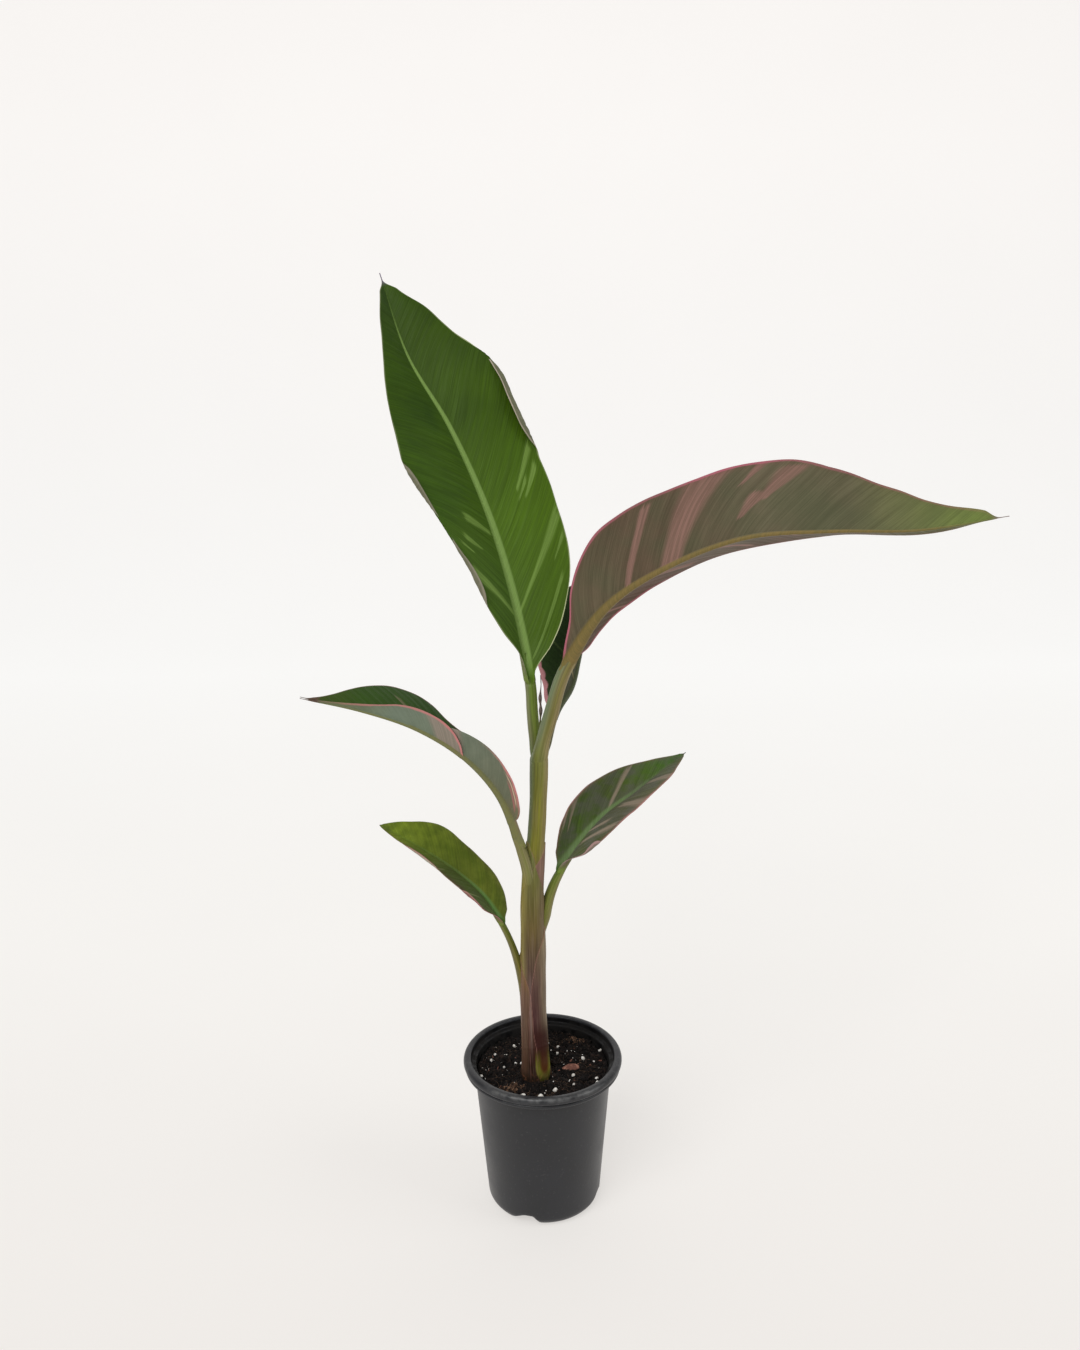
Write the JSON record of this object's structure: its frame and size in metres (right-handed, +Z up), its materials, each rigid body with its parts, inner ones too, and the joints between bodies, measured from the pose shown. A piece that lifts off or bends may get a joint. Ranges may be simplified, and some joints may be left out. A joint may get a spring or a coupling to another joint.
{
  "type": "potted banana plant",
  "caption": "Young banana plant with variegated paddle leaves on stalks from a sheathed stem, in a tapered nursery pot of soil.",
  "frame": {"origin": "centre of the pot's flat underside, on the pot's axis", "axes": "+Z up the plant, -Y towards its front, +X to its right as seen from the front"},
  "size_m": [0.4288, 0.1864, 0.6797],
  "materials": {
    "pot_plastic": "satin",
    "soil": "rough",
    "stem": "satin",
    "stalk": "satin",
    "dry_tip": "matte",
    "leaf": "satin"
  },
  "bodies": {
    "root": {"pot": "pot_plastic", "soil": "soil", "pseudostem": "stem", "stalk_1": "stalk", "stalk_2": "stalk", "stalk_3": "stalk", "stalk_4": "stalk", "stalk_5": "stalk", "stalk_6": "stalk", "new_leaf_spike": "dry_tip", "leaf_1": "leaf", "leaf_2_lower": "leaf", "leaf_2_upper": "leaf", "leaf_3": "leaf", "leaf_4_lower": "leaf", "leaf_4_upper": "leaf", "leaf_5": "leaf", "leaf_6": "leaf"}
  },
  "joints": []
}
